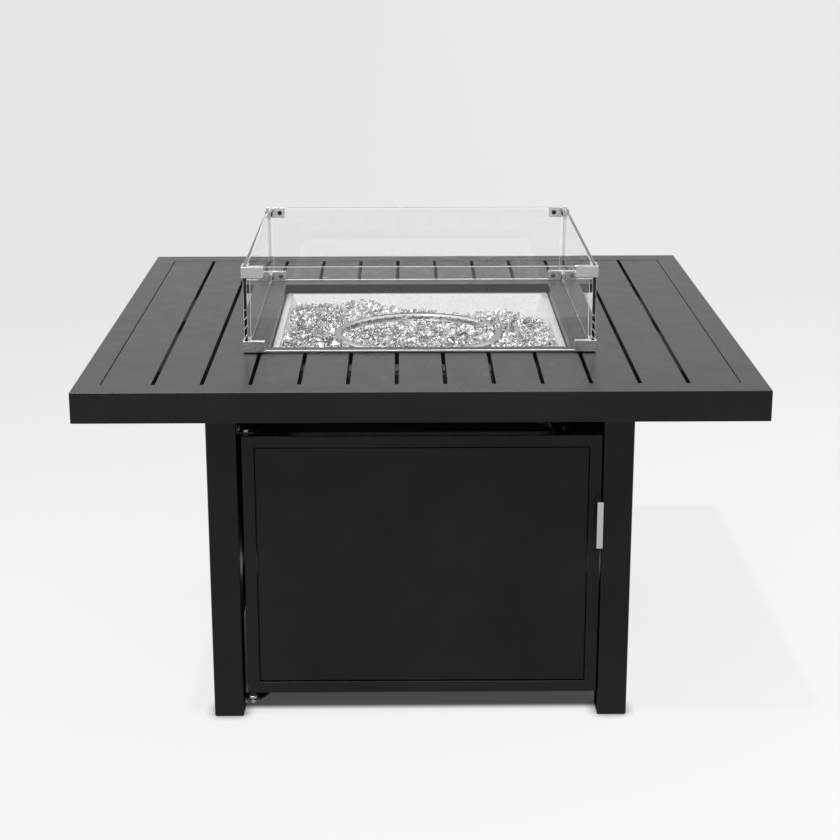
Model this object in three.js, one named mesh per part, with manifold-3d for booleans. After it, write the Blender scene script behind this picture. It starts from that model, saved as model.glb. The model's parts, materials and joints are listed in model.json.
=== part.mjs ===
// A square outdoor gas fire table: a slatted top with a burner pan of fire glass in the middle,
// a lift-off glass wind guard, and a cabinet with a hinged door that hides the gas controls.
// Millimetres, +Z up, +X to the right, -Y towards the door. The origin is on the floor, under the centre.
import * as THREE from "three";
import { mergeVertices } from "three/addons/utils/BufferGeometryUtils.js";
import Module from "manifold-3d";

const wasm = await Module();
wasm.setup();

// ---- Driving dimensions -------------------------------------------------------------------------
const GAP = 0.3; // air between two pieces that touch
const TOP_SIZE = 1067; // the square top, 42 inches
const TOP_HEIGHT = 622; // floor to the top of the rim
const RIM_DEPTH = 49;
const END_RAIL_WIDTH = 46.5; // the front and rear rails of the rim
const SIDE_RAIL_WIDTH = 40; // and the left and right ones
const RAIL_WALL = 2.5;
const DRAIN_RADIUS = 3;
const DRAIN_PLACE = 300; // from the middle of a rail to each of its two drain holes
const SLAT_DROP = 1; // the slats lie this far below the rim
const SLAT_PITCH = 75.1;
const SLAT_WIDTH = 69.2;
const SLAT_DEPTH = 20;
const SLAT_WALL = 2;
const SLAT_COUNT = 13;
const SLAT_JOINT = 0.6; // between an outer slat and the side rail
const OPENING_SIZE = 502; // square hole over the burner pan
const COLLAR_SIZE = 572; // outside of the flat frame round that hole
const COLLAR_RISE = 1.7; // the collar stands this far above the slats
const COLLAR_WALL = 3;
const LEDGE_TOP = 603.5; // the pan hangs on this ledge inside the collar
const LEDGE_THICK = 4.5;
const LEDGE_REACH = 11;
const BASE_SIZE = 700; // across the legs
const LEG_SIZE = 50;
const LEG_WALL = 2.5;
const LEG_FLOOR = 4;
const SUPPORT_SIZE = 25; // square tubes under the slats, over the legs
const BRACE_WIDTH = 75; // flat braces from the collar to the side rails
const BRACE_DEPTH = 5;
const PANEL_BOTTOM = 43.5;
const PANEL_BORDER = 20;
const PANEL_DEPTH = 22;
const PANEL_RECESS = 2;
const PANEL_SHEET = 5;
const GROOVE_WIDTH = 2; // the shadow line round each sheet
const GROOVE_DEPTH = 3;
const DOOR_TOP = 498;
const DOOR_LEFT = -292;
const DOOR_RIGHT = 297.7;
const PIVOT_X = -284; // the door turns about this upright line
const PIVOT_Y = -344;
const PIN_RADIUS = 3.5;
const PIN_DEPTH = 12;
const LOWER_SPACER = 10; // height of the hinge's spacer under the door
const UPPER_SPACER = 3;
const HANDLE_WIDTH = 10;
const HANDLE_HEIGHT = 80;
const HANDLE_THICK = 4;
const HANDLE_STAND_OFF = 24;
const HANDLE_POST_SPACING = 60;
const HANDLE_POST_RADIUS = 3.5;
const HANDLE_X = 294;
const HANDLE_Z = 351;
const GUARD_SIZE = 574.6; // outside of the side glass
const GUARD_BOTTOM = 624.8;
const GUARD_TOP = 765;
const GLASS_THICK = 6;
const GLASS_CORNER_GAP = 4.8;
const CLAMP_HEIGHT = 18.5;
const CLAMP_ARM = 36;
const CLAMP_PLATE = 2.3;
const CLAMP_LIP = 1.5;
const PAN_FLANGE = 499; // outside of the pan's rim
const PAN_MOUTH = 476; // inside of the pan at its rim
const PAN_TOP = 605.3;
const PAN_SHEET = 1.5;
const PAN_BOTTOM = 534; // inside floor
const PAN_SLOPE = 0.404; // run of the pan's wall for each unit of fall
const RING_RADIUS = 152.4; // outside of the 12 inch burner ring
const RING_WIDTH = 17;
const RING_TOP = 590;
const RING_DEPTH = 14;
const RING_SEGMENTS = 64;
const RING_CHAMFER = 3.5;
const SPOKE_RADIUS = 5;
const SPOKE_Z = 575;
const HUB_RADIUS = 14;
const HUB_ABOVE = 5; // from the middle of the spokes to the top of the hub
const HUB_BELOW = 13;
const NIPPLE_RADIUS = 10;
const NIPPLE_BOTTOM = 514;
const GLASS_BED_TOP = 580;
const BED_CLEARANCE = 0.5;
const KNOB_X = 243.5;
const BUTTON_X = 190;
const CONTROL_Z = 440;
const CONTROL_Y = -298; // front of the control plate
const CONTROL_PLATE = 2;
const CONTROL_LEFT = 165; // left edge of the control plate
const CONTROL_HEIGHT = 70;
const CONTROL_FLANGE = 32;
const KNOB_RADIUS = 20;
const KNOB_LENGTH = 20;
const KNOB_TRAVEL = 3;
const KNOB_SKIRT = 7;
const KNOB_BAR = 10; // width of the finger bar
const KNOB_BORE = 13;
const STEM_RADIUS = 4;
const STEM_SEAT = 20; // depth of the stem's bore behind the control plate
const BUTTON_RADIUS = 8;
const BUTTON_PROUD = 7;
const IGNITER_RADIUS = 12;
const IGNITER_LENGTH = 55;
const BEZEL_THICK = 4;
const BUTTON_DEPTH = 7; // how far the button reaches behind the front of the plate
const VALVE_WIDTH = 40;
const VALVE_DEPTH = 28;
const VALVE_Y = -262;
const NECK_RADIUS = 9;
const INLET_RADIUS = 8;
const INLET_LENGTH = 20;
const PLUG_RADIUS = 6;
const PLUG_TOP = 487; // the upright plug on the valve
const OUTLET_RADIUS = 5.5;
const OUTLET_OFFSET = 14.5; // to the left of the plug
const HOSE_RADIUS = 7;
const ELECTRODE_X = 100;
const ELECTRODE_Y = 40;
const ELECTRODE_RADIUS = 4;

// Places worked out from them
const topHalf = TOP_SIZE / 2;
const endRailInner = topHalf - END_RAIL_WIDTH;
const sideRailInner = topHalf - SIDE_RAIL_WIDTH;
const slatTop = TOP_HEIGHT - SLAT_DROP;
const slatBottom = slatTop - SLAT_DEPTH;
const collarHalf = COLLAR_SIZE / 2;
const baseHalf = BASE_SIZE / 2;
const legInner = baseHalf - LEG_SIZE;
const supportTop = slatBottom - GAP;
const supportBottom = supportTop - SUPPORT_SIZE;
const legTop = supportBottom - GAP;
const guardHalf = GUARD_SIZE / 2;
const glassInner = guardHalf - GLASS_THICK;
const plateBack = CONTROL_Y + CONTROL_PLATE;

// ---- Materials ----------------------------------------------------------------------------------
function material(color, roughness, metalness, opacity = 1) {
  return new THREE.MeshStandardMaterial({
    color,
    roughness,
    metalness,
    opacity,
    transparent: opacity < 1,
  });
}

const blackCoat = material(0x1c1c1d, 0.42, 0.3);
const satinSteel = material(0xc4c5c6, 0.35, 1);
const polishedSteel = material(0xd8d9da, 0.16, 1);
const clearGlass = material(0xe9f1ee, 0.03, 0, 0.25);
const crushedGlass = material(0xcfdcd6, 0.08, 0, 0.6);
const brass = material(0xb08d4c, 0.35, 1);
const zinc = material(0xa9abad, 0.45, 1);
const blackPlastic = material(0x171718, 0.5, 0);
const redPlastic = material(0xa01c18, 0.3, 0);
const ceramic = material(0xe6e2d8, 0.3, 0);

// ---- Shape helpers ------------------------------------------------------------------------------
// A three.js geometry as a manifold-3d solid.
function solidOf(geometry) {
  const bare = geometry.clone();
  bare.deleteAttribute("normal");
  bare.deleteAttribute("uv");
  const merged = mergeVertices(bare, 1e-4);
  const mesh = new wasm.Mesh({
    numProp: 3,
    vertProperties: new Float32Array(merged.attributes.position.array),
    triVerts: new Uint32Array(merged.index.array),
  });
  return new wasm.Manifold(mesh);
}

// A manifold-3d solid back as a three.js geometry with flat faces.
function geometryOf(solid) {
  const mesh = solid.getMesh();
  const indexed = new THREE.BufferGeometry();
  indexed.setAttribute("position", new THREE.BufferAttribute(mesh.vertProperties, 3));
  indexed.setIndex(new THREE.BufferAttribute(mesh.triVerts, 1));
  const flat = indexed.toNonIndexed();
  flat.computeVertexNormals();
  return flat;
}

function join(...geometries) {
  const solids = geometries.map(solidOf);
  return geometryOf(solids.reduce((whole, next) => whole.add(next)));
}

function cut(geometry, ...tools) {
  return geometryOf(tools.reduce((rest, tool) => rest.subtract(solidOf(tool)), solidOf(geometry)));
}

// A box between any two opposite corners.
function box(one, other) {
  const [x, y, z] = one.map((value, axis) => (value + other[axis]) / 2);
  const [width, depth, height] = one.map((value, axis) => Math.abs(value - other[axis]));
  return new THREE.BoxGeometry(width, depth, height).translate(x, y, z);
}

// A round bar between two points.
function rod(radius, from, to, segments = 20) {
  const start = new THREE.Vector3(...from);
  const end = new THREE.Vector3(...to);
  const along = end.clone().sub(start);
  const turn = new THREE.Quaternion().setFromUnitVectors(
    new THREE.Vector3(0, 1, 0),
    along.clone().normalize(),
  );
  const middle = start.clone().add(end).multiplyScalar(0.5);
  return new THREE.CylinderGeometry(radius, radius, along.length(), segments)
    .applyQuaternion(turn)
    .translate(middle.x, middle.y, middle.z);
}

// A profile of [radius, height] points, anticlockwise, turned about the Z axis. It closes on
// itself, or it starts and ends on the axis.
function turned(profile, segments) {
  const onAxis = profile[0][0] === 0;
  const outline = onAxis ? profile : [...profile, profile[0]];
  const points = outline.map(([radius, height]) => new THREE.Vector2(radius, height));
  return new THREE.LatheGeometry(points, segments).rotateX(Math.PI / 2);
}

// The same for a square ring, whose profile gives half its width across the flats.
function squareRing(profile) {
  const corners = profile.map(([half, height]) => [half * Math.SQRT2, height]);
  return turned(corners, 4).rotateZ(Math.PI / 4);
}

// A profile of [across, up] points, extruded along Y.
function extrudedAlongY(profile, yFrom, yTo) {
  const shape = new THREE.Shape(profile.map(([across, up]) => new THREE.Vector2(across, up)));
  const bar = new THREE.ExtrudeGeometry(shape, { depth: yTo - yFrom, bevelEnabled: false });
  return bar.rotateX(Math.PI / 2).translate(0, yTo, 0);
}

// A plan outline of [x, y] points, extruded upwards.
function plate(outline, zFrom, zTo) {
  const shape = new THREE.Shape(outline.map(([x, y]) => new THREE.Vector2(x, y)));
  const slab = new THREE.ExtrudeGeometry(shape, { depth: zTo - zFrom, bevelEnabled: false });
  return slab.translate(0, 0, zFrom);
}

const group = new THREE.Group();

function add(name, geometry, finish) {
  const mesh = new THREE.Mesh(geometry, finish);
  mesh.name = name;
  group.add(mesh);
  return mesh;
}

// ---- Table top ----------------------------------------------------------------------------------
// The welded rim: four hollow rails in one piece, with drain holes underneath.
function topFrame() {
  const bottom = TOP_HEIGHT - RIM_DEPTH;
  // The ring that lies the given distance inside the faces of the rails.
  const ring = (wall, zFrom, zTo) => {
    const outer = topHalf - wall;
    const x = sideRailInner + wall;
    const y = endRailInner + wall;
    return cut(
      box([-outer, -outer, zFrom], [outer, outer, zTo]),
      box([-x, -y, zFrom - 1], [x, y, zTo + 1]),
    );
  };
  const rails = ring(0, bottom, TOP_HEIGHT);
  const hollow = ring(RAIL_WALL, bottom + RAIL_WALL, TOP_HEIGHT - RAIL_WALL);
  const drain = (x, y) => rod(DRAIN_RADIUS, [x, y, bottom - 1], [x, y, bottom + RAIL_WALL + 1], 10);
  const sideMiddle = topHalf - SIDE_RAIL_WIDTH / 2;
  const endMiddle = topHalf - END_RAIL_WIDTH / 2;
  const drains = [];
  for (const side of [-1, 1]) {
    for (const along of [-DRAIN_PLACE, DRAIN_PLACE]) {
      drains.push(drain(side * sideMiddle, along), drain(along, side * endMiddle));
    }
  }
  return cut(rails, hollow, ...drains);
}

// One slat: a channel, open underneath, that runs from front to back.
function slat(left, right, yFrom, yTo) {
  const under = slatTop - SLAT_WALL;
  const profile = [
    [left, slatBottom],
    [left, slatTop],
    [right, slatTop],
    [right, slatBottom],
    [right - SLAT_WALL, slatBottom],
    [right - SLAT_WALL, under],
    [left + SLAT_WALL, under],
    [left + SLAT_WALL, slatBottom],
  ];
  return extrudedAlongY(profile, yFrom, yTo);
}

// The slats from left to right: whole ones at the sides, notched ones beside the collar,
// and a front and a rear stub where the collar interrupts the row. The outer two are a little
// wider, to meet the side rails.
function addSlats() {
  const end = endRailInner - GAP;
  const stubEnd = collarHalf + GAP;
  const notch = box([-stubEnd, -stubEnd, slatBottom - 1], [stubEnd, stubEnd, slatTop + 1]);
  const outerEdge = sideRailInner - SLAT_JOINT;
  const middle = (SLAT_COUNT + 1) / 2;
  for (let number = 1; number <= SLAT_COUNT; number++) {
    const x = (number - middle) * SLAT_PITCH;
    const left = number === 1 ? -outerEdge : x - SLAT_WIDTH / 2;
    const right = number === SLAT_COUNT ? outerEdge : x + SLAT_WIDTH / 2;
    const nearEdge = Math.min(Math.abs(left), Math.abs(right));
    const farEdge = Math.max(Math.abs(left), Math.abs(right));
    const label = "slat_" + String(number).padStart(2, "0");
    if (nearEdge > stubEnd) {
      add(label, slat(left, right, -end, end), blackCoat);
    } else if (farEdge > stubEnd) {
      add(label, cut(slat(left, right, -end, end), notch), blackCoat);
    } else {
      add(label + "_front", slat(left, right, -end, -stubEnd), blackCoat);
      add(label + "_rear", slat(left, right, stubEnd, end), blackCoat);
    }
  }
}

// The collar round the opening: a flat top a little above the slats, an outer skirt, an inner wall with the ledge that
// carries the pan, and a flat brace to the left and right rails.
function openingCollar() {
  const inner = OPENING_SIZE / 2;
  const top = slatTop + COLLAR_RISE;
  const ledgeBottom = LEDGE_TOP - LEDGE_THICK;
  const lap = 1; // how far joined pieces run into each other
  const ring = squareRing([
    [inner - LEDGE_REACH, ledgeBottom],
    [inner + COLLAR_WALL, ledgeBottom],
    [inner + COLLAR_WALL, top - COLLAR_WALL],
    [collarHalf - COLLAR_WALL, top - COLLAR_WALL],
    [collarHalf - COLLAR_WALL, slatBottom],
    [collarHalf, slatBottom],
    [collarHalf, top],
    [inner, top],
    [inner, LEDGE_TOP],
    [inner - LEDGE_REACH, LEDGE_TOP],
  ]);
  const braceTop = slatBottom - GAP;
  const braces = [-1, 1].map((side) =>
    box(
      [side * (inner + lap), -BRACE_WIDTH / 2, braceTop - BRACE_DEPTH],
      [side * (sideRailInner - GAP), BRACE_WIDTH / 2, braceTop],
    ),
  );
  // An upright lug ties each brace to the skirt of the collar.
  const lugs = [-1, 1].map((side) =>
    box(
      [side * (collarHalf - COLLAR_WALL), -BRACE_WIDTH / 2, braceTop - lap],
      [side * collarHalf, BRACE_WIDTH / 2, slatBottom + lap],
    ),
  );
  return join(ring, ...braces, ...lugs);
}

// A square tube under the slats, open at both ends.
function deckSupport(yCentre) {
  const half = SUPPORT_SIZE / 2;
  const end = sideRailInner - GAP;
  const outer = box([-end, yCentre - half, supportBottom], [end, yCentre + half, supportTop]);
  const bore = box(
    [-end - 1, yCentre - half + LEG_WALL, supportBottom + LEG_WALL],
    [end + 1, yCentre + half - LEG_WALL, supportTop - LEG_WALL],
  );
  return cut(outer, bore);
}

// ---- Base ---------------------------------------------------------------------------------------
// One square leg tube, closed at the floor and open at the top. The sides are -1 or 1.
function leg(sideX, sideY) {
  const middle = baseHalf - LEG_SIZE / 2;
  const tube = (half, from, to) =>
    box(
      [sideX * middle - half, sideY * middle - half, from],
      [sideX * middle + half, sideY * middle + half, to],
    );
  return cut(tube(LEG_SIZE / 2, 0, legTop), tube(LEG_SIZE / 2 - LEG_WALL, LEG_FLOOR, legTop + 1));
}

// A cabinet panel facing -Y at the front of the base: a border with a sheet just behind its face.
function cabinetPanel(left, right, top) {
  const front = -baseHalf;
  const back = front + PANEL_DEPTH;
  const sheetFront = front + PANEL_RECESS;
  const sheetBack = sheetFront + PANEL_SHEET;
  // A block that fills the border between two depths, or stops short of it by the inset.
  const inside = (from, to, inset = 0) =>
    box(
      [left + PANEL_BORDER + inset, from, PANEL_BOTTOM + PANEL_BORDER + inset],
      [right - PANEL_BORDER - inset, to, top - PANEL_BORDER - inset],
    );
  const slab = box([left, front, PANEL_BOTTOM], [right, back, top]);
  return { slab, inside, front, back, sheetFront, sheetBack };
}

// A fixed side, turned about the upright axis from the front to its own side.
function sidePanel(turn) {
  const half = legInner - GAP;
  const panel = cabinetPanel(-half, half, legTop);
  const groove = cut(
    panel.inside(panel.sheetFront - 1, panel.sheetFront + GROOVE_DEPTH),
    panel.inside(panel.front, panel.back, GROOVE_WIDTH),
  );
  const solid = cut(
    panel.slab,
    panel.inside(panel.front - 1, panel.sheetFront),
    groove,
    panel.inside(panel.sheetBack, panel.back + 1),
  );
  return solid.rotateZ(turn);
}

// ---- Door ---------------------------------------------------------------------------------------
function doorFrame() {
  const panel = cabinetPanel(DOOR_LEFT, DOOR_RIGHT, DOOR_TOP);
  const hole = PIN_RADIUS + GAP;
  const sockets = [
    [PANEL_BOTTOM - 1, PANEL_BOTTOM + PIN_DEPTH + 1],
    [DOOR_TOP - PIN_DEPTH - 1, DOOR_TOP + 1],
  ].map(([from, to]) => rod(hole, [PIVOT_X, PIVOT_Y, from], [PIVOT_X, PIVOT_Y, to], 24));
  return cut(panel.slab, panel.inside(panel.front - 1, panel.back + 1), ...sockets);
}

// The sheet, with a step round its edge that leaves a groove beside the door frame.
function doorPanel() {
  const panel = cabinetPanel(DOOR_LEFT, DOOR_RIGHT, DOOR_TOP);
  const face = panel.inside(panel.sheetFront, panel.sheetBack, GROOVE_WIDTH);
  const step = panel.inside(panel.sheetFront + GROOVE_DEPTH, panel.sheetBack, GAP);
  return join(face, step);
}

// A flat bar on two round posts.
function doorHandle() {
  const back = -baseHalf - HANDLE_STAND_OFF;
  const bar = box(
    [HANDLE_X - HANDLE_WIDTH / 2, back - HANDLE_THICK, HANDLE_Z - HANDLE_HEIGHT / 2],
    [HANDLE_X + HANDLE_WIDTH / 2, back, HANDLE_Z + HANDLE_HEIGHT / 2],
  );
  const posts = [-0.5, 0.5].map((share) => {
    const z = HANDLE_Z + share * HANDLE_POST_SPACING;
    return rod(HANDLE_POST_RADIUS, [HANDLE_X, back - 1, z], [HANDLE_X, -baseHalf - GAP, z], 16);
  });
  return join(bar, ...posts);
}

// A pivot bracket on the left front leg: a flange on the leg, a plate with a slanted end, and the
// pin that the door turns on, with a spacer between the plate and the door. up is 1 when the pin
// points up into the door, and -1 when down.
function hingeBracket(doorEdge, up, spacerHeight) {
  const thick = 3; // of the plate and the flange
  const depth = 24; // front to back
  const flangeHeight = 16;
  const spacerRadius = 6;
  const headRadius = 5;
  const headHeight = 3.5;
  const frontReach = 12; // of the plate past the pin
  const backReach = 26;
  const legFace = -legInner + GAP;
  const front = -baseHalf + 1;
  const back = front + depth;
  const near = doorEdge - up * (spacerHeight + GAP);
  const far = near - up * thick;
  const shelf = plate(
    [[legFace, front], [PIVOT_X + frontReach, front], [PIVOT_X + backReach, back], [legFace, back]],
    Math.min(near, far),
    Math.max(near, far),
  );
  const flange = box([legFace, front, near], [legFace + thick, back, near - up * flangeHeight]);
  const at = (z) => [PIVOT_X, PIVOT_Y, z];
  const inPlate = (near + far) / 2;
  const spacer = rod(spacerRadius, at(inPlate), at(near + up * spacerHeight), 20);
  const pin = rod(PIN_RADIUS, at(far), at(doorEdge + up * PIN_DEPTH), 24);
  const head = rod(headRadius, at(inPlate), at(far - up * headHeight), 6);
  return join(shelf, flange, spacer, pin, head);
}

// The magnet block that holds the door shut, on the inner face of the right front leg.
function magnetCatch() {
  const reach = 18; // from the leg
  const depth = 21;
  const height = 30;
  const clear = 0.6; // behind the door
  const front = -baseHalf + PANEL_DEPTH + clear;
  return box(
    [legInner - reach, front, HANDLE_Z - height / 2],
    [legInner - GAP, front + depth, HANDLE_Z + height / 2],
  );
}

// ---- Wind guard ---------------------------------------------------------------------------------
function sideGlass(side) {
  return box([side * glassInner, -guardHalf, GUARD_BOTTOM], [side * guardHalf, guardHalf, GUARD_TOP]);
}

function crossGlass(side) {
  const end = glassInner - GLASS_CORNER_GAP;
  return box([-end, side * glassInner, GUARD_BOTTOM], [end, side * guardHalf, GUARD_TOP]);
}

// A corner clamp: outer and inner plates along both glasses, joined by a web through the gap
// between the two glass edges. A lip under the glass belongs to the lower clamps. The sides are
// -1 or 1.
function cornerClamp(sideX, sideY, zFrom, hasLip) {
  const outerFace = guardHalf + GAP;
  const outside = outerFace + CLAMP_PLATE;
  const innerFace = glassInner - GAP;
  const inside = innerFace - CLAMP_PLATE;
  const armEnd = outside - CLAMP_ARM;
  const webFrom = glassInner - GLASS_CORNER_GAP + GAP;
  const zTo = zFrom + CLAMP_HEIGHT;
  const lipTop = zFrom + CLAMP_LIP;
  const piece = (x0, y0, x1, y1, top = zTo) =>
    box([sideX * x0, sideY * y0, zFrom], [sideX * x1, sideY * y1, top]);
  const pieces = [
    piece(armEnd, outerFace, outside, outside),
    piece(outerFace, armEnd, outside, outside),
    piece(armEnd, inside, innerFace, innerFace),
    piece(inside, armEnd, innerFace, innerFace),
    piece(webFrom, innerFace - 1, innerFace, outerFace + 1),
  ];
  if (hasLip) {
    pieces.push(piece(armEnd, inside, outside, outside, lipTop));
    pieces.push(piece(inside, armEnd, outside, outside, lipTop));
  }
  return join(...pieces);
}

function addWindGuard() {
  add("guard_glass_left", sideGlass(-1), clearGlass);
  add("guard_glass_right", sideGlass(1), clearGlass);
  add("guard_glass_front", crossGlass(-1), clearGlass);
  add("guard_glass_rear", crossGlass(1), clearGlass);
  for (const [depthName, sideY] of [["front", -1], ["rear", 1]]) {
    for (const [sideName, sideX] of [["left", -1], ["right", 1]]) {
      const corner = depthName + "_" + sideName;
      const lower = cornerClamp(sideX, sideY, GUARD_BOTTOM - GAP - CLAMP_LIP, true);
      const upper = cornerClamp(sideX, sideY, GUARD_TOP + GAP - CLAMP_HEIGHT, false);
      add("clamp_lower_" + corner, lower, satinSteel);
      add("clamp_upper_" + corner, upper, satinSteel);
    }
  }
}

// ---- Burner -------------------------------------------------------------------------------------
// A square pan with leaning walls and a flat rim, and holes for the gas nipple and the electrode.
function burnerPan() {
  const mouth = PAN_MOUTH / 2;
  const rimUnder = PAN_TOP - PAN_SHEET;
  const wallAt = (z) => mouth - (PAN_TOP - z) * PAN_SLOPE;
  const outside = squareRing([
    [0, PAN_BOTTOM - PAN_SHEET],
    [wallAt(PAN_BOTTOM) + PAN_SHEET, PAN_BOTTOM - PAN_SHEET],
    [wallAt(rimUnder) + PAN_SHEET, rimUnder],
    [PAN_FLANGE / 2, rimUnder],
    [PAN_FLANGE / 2, PAN_TOP],
    [mouth, PAN_TOP],
    [wallAt(PAN_BOTTOM), PAN_BOTTOM],
    [0, PAN_BOTTOM],
  ]);
  const through = (radius, x, y) => rod(radius, [x, y, PAN_BOTTOM - 5], [x, y, PAN_BOTTOM + 5], 24);
  const nippleHole = through(NIPPLE_RADIUS + GAP, 0, 0);
  const electrodeHole = through(ELECTRODE_RADIUS + GAP, ELECTRODE_X, ELECTRODE_Y);
  return cut(outside, nippleHole, electrodeHole);
}

// The burner ring with its two spokes, hub and nipple. grow makes the same shape larger all over.
function burnerShape(grow) {
  const inner = RING_RADIUS - RING_WIDTH - grow;
  const outer = RING_RADIUS + grow;
  const bottom = RING_TOP - RING_DEPTH - grow;
  const top = RING_TOP + grow;
  const ring = turned(
    [
      [inner + RING_CHAMFER, bottom],
      [outer - RING_CHAMFER, bottom],
      [outer, bottom + RING_CHAMFER],
      [outer, top - RING_CHAMFER],
      [outer - RING_CHAMFER, top],
      [inner + RING_CHAMFER, top],
      [inner, top - RING_CHAMFER],
      [inner, bottom + RING_CHAMFER],
    ],
    RING_SEGMENTS,
  );
  const reach = RING_RADIUS - RING_WIDTH / 2;
  const at = (z) => [0, 0, z];
  const spoke = rod(SPOKE_RADIUS + grow, [-reach, 0, SPOKE_Z], [reach, 0, SPOKE_Z], 16);
  const hub = rod(HUB_RADIUS + grow, at(SPOKE_Z - HUB_BELOW - grow), at(SPOKE_Z + HUB_ABOVE + grow), 24);
  const nipple = rod(NIPPLE_RADIUS + grow, at(NIPPLE_BOTTOM), at(SPOKE_Z), 24);
  return join(ring, spoke, hub, nipple);
}

// The bed of fire glass as one block that fills the pan up to the ring and clears what it covers.
function glassBed() {
  const wallAt = (z) => PAN_MOUTH / 2 - (PAN_TOP - z) * PAN_SLOPE - BED_CLEARANCE;
  const bottom = PAN_BOTTOM + GAP;
  const block = squareRing([
    [0, bottom],
    [wallAt(bottom), bottom],
    [wallAt(GLASS_BED_TOP), GLASS_BED_TOP],
    [0, GLASS_BED_TOP],
  ]);
  const electrodeRoom = rod(
    ELECTRODE_RADIUS + BED_CLEARANCE,
    [ELECTRODE_X, ELECTRODE_Y, PAN_BOTTOM - 1],
    [ELECTRODE_X, ELECTRODE_Y, GLASS_BED_TOP + 1],
    16,
  );
  return cut(block, burnerShape(BED_CLEARANCE), electrodeRoom);
}

// The ceramic electrode that lights the gas, through the floor of the pan.
function sparkElectrode() {
  const wireRadius = 1;
  const wireTop = RING_TOP - 2;
  const at = (z) => [ELECTRODE_X, ELECTRODE_Y, z];
  const sleeve = rod(ELECTRODE_RADIUS, at(NIPPLE_BOTTOM), at(GLASS_BED_TOP), 16);
  const wire = rod(wireRadius, at(GLASS_BED_TOP - 1), at(wireTop), 8);
  return join(sleeve, wire);
}

// ---- Gas controls -------------------------------------------------------------------------------
// The plate behind the door, with a flange screwed to the right side panel.
function controlBracket() {
  const right = baseHalf - PANEL_DEPTH - GAP;
  const bottom = CONTROL_Z - CONTROL_HEIGHT / 2;
  const top = CONTROL_Z + CONTROL_HEIGHT / 2;
  const face = box([CONTROL_LEFT, CONTROL_Y, bottom], [right, plateBack, top]);
  const flange = box([right - CONTROL_PLATE, CONTROL_Y, bottom], [right, CONTROL_Y + CONTROL_FLANGE, top]);
  const hole = (radius, x) =>
    rod(radius + GAP, [x, CONTROL_Y - 1, CONTROL_Z], [x, plateBack + 1, CONTROL_Z], 24);
  return cut(join(face, flange), hole(NECK_RADIUS, KNOB_X), hole(IGNITER_RADIUS, BUTTON_X));
}

// The valve's outlet leans to the left. A place along its middle line, from the top of the body.
const outletStart = new THREE.Vector3(KNOB_X - OUTLET_OFFSET, VALVE_Y, CONTROL_Z + VALVE_WIDTH / 2);
const outletAlong = new THREE.Vector3(-0.15, 0, 1).normalize();
const outletAt = (distance) => outletStart.clone().addScaledVector(outletAlong, distance).toArray();
const NUT_START = 2.3; // along the outlet
const NUT_END = 11;
const VALVE_NUT_RADIUS = 8.5;
const BURNER_NUT_RADIUS = 12;
const BURNER_NUT_BOTTOM = 496;

// The brass valve: a body with a neck through the plate, an inlet below, and a plug and the outlet
// on top.
function gasValve() {
  const half = VALVE_WIDTH / 2;
  const body = box(
    [KNOB_X - half, plateBack + GAP, CONTROL_Z - half],
    [KNOB_X + half, VALVE_Y + VALVE_DEPTH / 2, CONTROL_Z + half],
  );
  const front = (y) => [KNOB_X, y, CONTROL_Z];
  const neck = rod(NECK_RADIUS, front(plateBack + GAP + 1), front(CONTROL_Y - CONTROL_PLATE), 24);
  const upright = (z) => [KNOB_X, VALVE_Y, z];
  const inlet = rod(INLET_RADIUS, upright(CONTROL_Z), upright(CONTROL_Z - half - INLET_LENGTH), 20);
  const plug = rod(PLUG_RADIUS, upright(CONTROL_Z), upright(PLUG_TOP), 6);
  const outlet = rod(OUTLET_RADIUS, outletAt(-half / 2), outletAt(NUT_START - GAP), 20);
  const stemBore = rod(STEM_RADIUS + GAP, front(CONTROL_Y - 5), front(plateBack + STEM_SEAT), 24);
  return cut(join(body, neck, inlet, plug, outlet), stemBore);
}

// The knob clears the valve's neck by 1 mm when it is pushed in.
const knobBack = CONTROL_Y - CONTROL_PLATE - KNOB_TRAVEL - 1;
const knobFront = knobBack - KNOB_LENGTH;

// The stem moves in and out of the valve when the knob is pushed.
function valveStem() {
  const end = plateBack + STEM_SEAT - KNOB_TRAVEL - 1;
  const start = knobBack - KNOB_BORE + 1;
  return rod(STEM_RADIUS, [KNOB_X, start, CONTROL_Z], [KNOB_X, end, CONTROL_Z], 24);
}

// A round knob with a finger bar across its face and a bore for the stem.
function gasKnob() {
  const bossRadius = 10;
  const inset = 2; // of the bar's ends and the boss's face
  const at = (y) => [KNOB_X, y, CONTROL_Z];
  const behind = knobBack - KNOB_SKIRT + 1;
  const skirt = rod(KNOB_RADIUS, at(knobBack), at(knobBack - KNOB_SKIRT), 36);
  const grip = box(
    [KNOB_X - KNOB_BAR / 2, knobFront, CONTROL_Z - KNOB_RADIUS + inset],
    [KNOB_X + KNOB_BAR / 2, behind, CONTROL_Z + KNOB_RADIUS - inset],
  );
  const boss = rod(bossRadius, at(behind), at(knobFront + inset), 24);
  const bore = rod(STEM_RADIUS + GAP, at(knobBack + 1), at(knobBack - KNOB_BORE), 24);
  return cut(join(skirt, grip, boss), bore);
}

// The igniter's housing: a bezel in front of the plate, and the battery barrel behind it.
function igniterHousing() {
  const bezelLip = 3; // of the bezel past the barrel
  const boreDepth = 14;
  const at = (y) => [BUTTON_X, y, CONTROL_Z];
  const front = CONTROL_Y - BEZEL_THICK;
  const barrel = rod(IGNITER_RADIUS, at(CONTROL_Y - 1), at(CONTROL_Y + IGNITER_LENGTH), 24);
  const bezel = rod(IGNITER_RADIUS + bezelLip, at(front), at(CONTROL_Y - GAP), 28);
  const bore = rod(BUTTON_RADIUS + GAP, at(front - 1), at(CONTROL_Y + boreDepth), 28);
  return cut(join(barrel, bezel), bore);
}

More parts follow.
